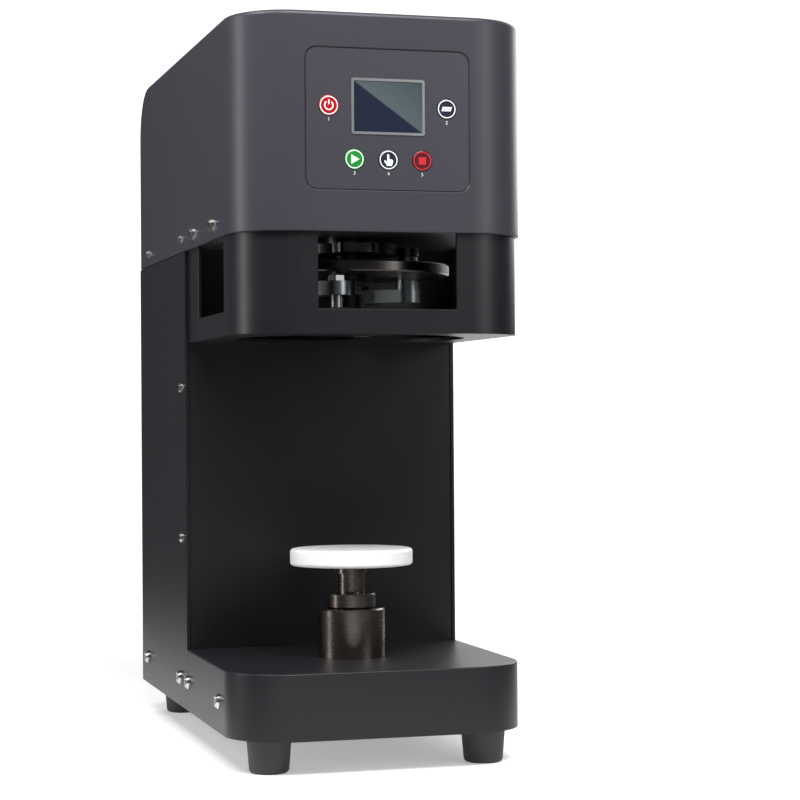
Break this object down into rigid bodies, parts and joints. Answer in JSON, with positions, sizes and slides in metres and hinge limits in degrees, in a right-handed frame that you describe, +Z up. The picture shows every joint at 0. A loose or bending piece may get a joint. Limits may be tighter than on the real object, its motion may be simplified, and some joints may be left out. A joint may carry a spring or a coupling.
{
  "type": "can seamer",
  "caption": "Desktop can seamer: C-shaped housing, lifting tray, fixed chuck and a turret of two swinging seaming rollers driven through a differential gear train.",
  "frame": {"origin": "on the table under the middle of the machine's box", "axes": "+Z up, -Y towards the user (the tray and panel side), +X to the user's right"},
  "size_m": [0.222, 0.4101, 0.53],
  "materials": {
    "powder_coat": "satin dark anthracite powder coat, fine texture",
    "powder_coat_dark": "satin dark anthracite powder coat, fine texture",
    "rubber_foot": "moulded black rubber",
    "white_nylon": "machined white nylon",
    "brushed_steel": "turned and brushed stainless steel",
    "bright_screw": "nickel plated steel",
    "zinc_steel": "zinc plated steel",
    "tool_steel": "ground tool steel, oiled",
    "aluminium_plate": "milled aluminium",
    "bronze": "sintered bronze",
    "panel_film": "satin printed film",
    "display_glass": "clear window over a dark display",
    "silver_frame": "silver frame",
    "circuit_board": "green board",
    "key_red": "red key",
    "key_green": "green key",
    "key_dark": "dark key",
    "black_plastic": "moulded black plastic",
    "motor_paint": "black enamel",
    "belt_rubber": "neoprene belt"
  },
  "bodies": {
    "frame": {"upper_cover": "powder_coat", "lower_cover": "powder_coat_dark", "guard_bottom": "powder_coat_dark", "column_side_left": "powder_coat_dark", "column_side_right": "powder_coat_dark", "column_front_panel": "powder_coat_dark", "rear_cover": "powder_coat_dark", "power_inlet": "black_plastic", "base_shell": "powder_coat_dark", "base_pan": "zinc_steel", "rubber_feet": "rubber_foot", "large_screws": "bright_screw", "small_screws": "bright_screw", "panel_overlay": "panel_film", "display_bezel": "silver_frame", "display_glass": "display_glass", "key_board": "circuit_board", "main_plate": "aluminium_plate", "frame_plates": "zinc_steel", "guide_sleeve": "brushed_steel", "lever_bracket": "zinc_steel", "lift_motor": "motor_paint", "seaming_chuck": "tool_steel", "chuck_shaft": "brushed_steel", "chuck_bridge": "zinc_steel", "spindle_housing": "aluminium_plate", "spindle_bearings": "tool_steel", "pinion_bush": "bronze", "drive_belt": "belt_rubber", "drive_motor": "motor_paint"},
    "turret": {"turret_disc": "tool_steel", "turret_spindle": "tool_steel", "turret_gear": "tool_steel"},
    "cam": {"seaming_cam": "tool_steel", "spindle_bushes": "bronze", "cam_gear": "tool_steel"},
    "pinion": {"pinion_shaft": "tool_steel", "pinion_pulley": "aluminium_plate"},
    "motor_rotor": {"motor_rotor": "tool_steel"},
    "arm_1": {"seaming_arm_1": "zinc_steel", "follower_arm_1": "zinc_steel"},
    "arm_2": {"seaming_arm_2": "zinc_steel", "follower_arm_2": "zinc_steel"},
    "roller_1": {"seaming_roller_1": "tool_steel"},
    "roller_2": {"seaming_roller_2": "tool_steel"},
    "follower_1": {"cam_follower_1": "tool_steel"},
    "follower_2": {"cam_follower_2": "tool_steel"},
    "lift": {"lift_rod": "brushed_steel", "rod_collar": "brushed_steel", "collar_screw": "bright_screw"},
    "tray": {"can_tray": "white_nylon", "tray_stem": "brushed_steel"},
    "lever": {"lift_lever": "zinc_steel"},
    "lever_roller": {"lever_roller": "tool_steel"},
    "lift_cam": {"lift_cam": "tool_steel"},
    "power_key": {"power_key": "key_red"},
    "clear_key": {"clear_key": "key_dark"},
    "start_key": {"start_key": "key_green"},
    "manual_key": {"manual_key": "key_dark"},
    "stop_key": {"stop_key": "key_red"}
  },
  "joints": [
    {"name": "turret_spin", "type": "hinge", "parent": "frame", "child": "turret", "pos_m": [0, -0.095, 0.357], "axis": [0, 0, 1], "continuous": true},
    {"name": "cam_spin", "type": "hinge", "parent": "frame", "child": "cam", "pos_m": [0, -0.095, 0.4], "axis": [0, 0, 1], "continuous": true},
    {"name": "pinion_spin", "type": "hinge", "parent": "frame", "child": "pinion", "pos_m": [0, -0.032, 0.41], "axis": [0, 0, 1], "continuous": true},
    {"name": "motor_spin", "type": "hinge", "parent": "frame", "child": "motor_rotor", "pos_m": [0, 0.062, 0.38], "axis": [0, 0, 1], "continuous": true},
    {"name": "arm_1_swing", "type": "hinge", "parent": "turret", "child": "arm_1", "pos_m": [-0.05369, -0.126, 0.357], "axis": [0, 0, 1], "range_deg": [0, 9], "stiffness_Nm_per_rad": 2, "springref_deg": -20.05},
    {"name": "roller_1_spin", "type": "hinge", "parent": "arm_1", "child": "roller_1", "pos_m": [-0.02552, -0.15579, 0.32], "axis": [0, 0, 1], "continuous": true},
    {"name": "follower_1_spin", "type": "hinge", "parent": "arm_1", "child": "follower_1", "pos_m": [-0.04412, -0.09026, 0.371], "axis": [0, 0, 1], "continuous": true},
    {"name": "arm_2_swing", "type": "hinge", "parent": "turret", "child": "arm_2", "pos_m": [0.05369, -0.064, 0.357], "axis": [0, 0, 1], "range_deg": [0, 9], "stiffness_Nm_per_rad": 2, "springref_deg": -20.05},
    {"name": "roller_2_spin", "type": "hinge", "parent": "arm_2", "child": "roller_2", "pos_m": [0.02552, -0.03421, 0.32], "axis": [0, 0, 1], "continuous": true},
    {"name": "follower_2_spin", "type": "hinge", "parent": "arm_2", "child": "follower_2", "pos_m": [0.04412, -0.09974, 0.371], "axis": [0, 0, 1], "continuous": true},
    {"name": "lift_cam_turn", "type": "hinge", "parent": "frame", "child": "lift_cam", "pos_m": [0.005, 0.055, 0.0985], "axis": [1, 0, 0], "range_deg": [0, 202]},
    {"name": "lift_lever_swing", "type": "hinge", "parent": "frame", "child": "lever", "pos_m": [0, -0.015, 0.0445], "axis": [-1, 0, 0], "range_deg": [0, 15]},
    {"name": "lift_rod_rise", "type": "slide", "parent": "frame", "child": "lift", "axis": [0, 0, 1], "range_m": [0, 0.02]},
    {"name": "tray_height", "type": "slide", "parent": "lift", "child": "tray", "axis": [0, 0, 1], "range_m": [-0.014, 0.02]},
    {"name": "lever_roller_spin", "type": "hinge", "parent": "lever", "child": "lever_roller", "pos_m": [0.013, 0.055, 0.0705], "axis": [1, 0, 0], "continuous": true},
    {"name": "power_key_press", "type": "slide", "parent": "frame", "child": "power_key", "axis": [0, 1, 0], "range_m": [0, 0.0006], "stiffness_N_per_m": 900, "springref_m": -0.0006},
    {"name": "clear_key_press", "type": "slide", "parent": "frame", "child": "clear_key", "axis": [0, 1, 0], "range_m": [0, 0.0006], "stiffness_N_per_m": 900, "springref_m": -0.0006},
    {"name": "start_key_press", "type": "slide", "parent": "frame", "child": "start_key", "axis": [0, 1, 0], "range_m": [0, 0.0006], "stiffness_N_per_m": 900, "springref_m": -0.0006},
    {"name": "manual_key_press", "type": "slide", "parent": "frame", "child": "manual_key", "axis": [0, 1, 0], "range_m": [0, 0.0006], "stiffness_N_per_m": 900, "springref_m": -0.0006},
    {"name": "stop_key_press", "type": "slide", "parent": "frame", "child": "stop_key", "axis": [0, 1, 0], "range_m": [0, 0.0006], "stiffness_N_per_m": 900, "springref_m": -0.0006}
  ],
  "couplings": [
    {"joint": "cam_spin", "follows": "turret_spin", "ratio": 0.98361},
    {"joint": "pinion_spin", "follows": "turret_spin", "ratio": -2.5},
    {"joint": "motor_spin", "follows": "turret_spin", "ratio": -5},
    {"joint": "lift_lever_swing", "follows": "lift_rod_rise", "rad_per_m": 12.634},
    {"joint": "lift_cam_turn", "follows": "lift_rod_rise", "rad_per_m": 174.53}
  ]
}
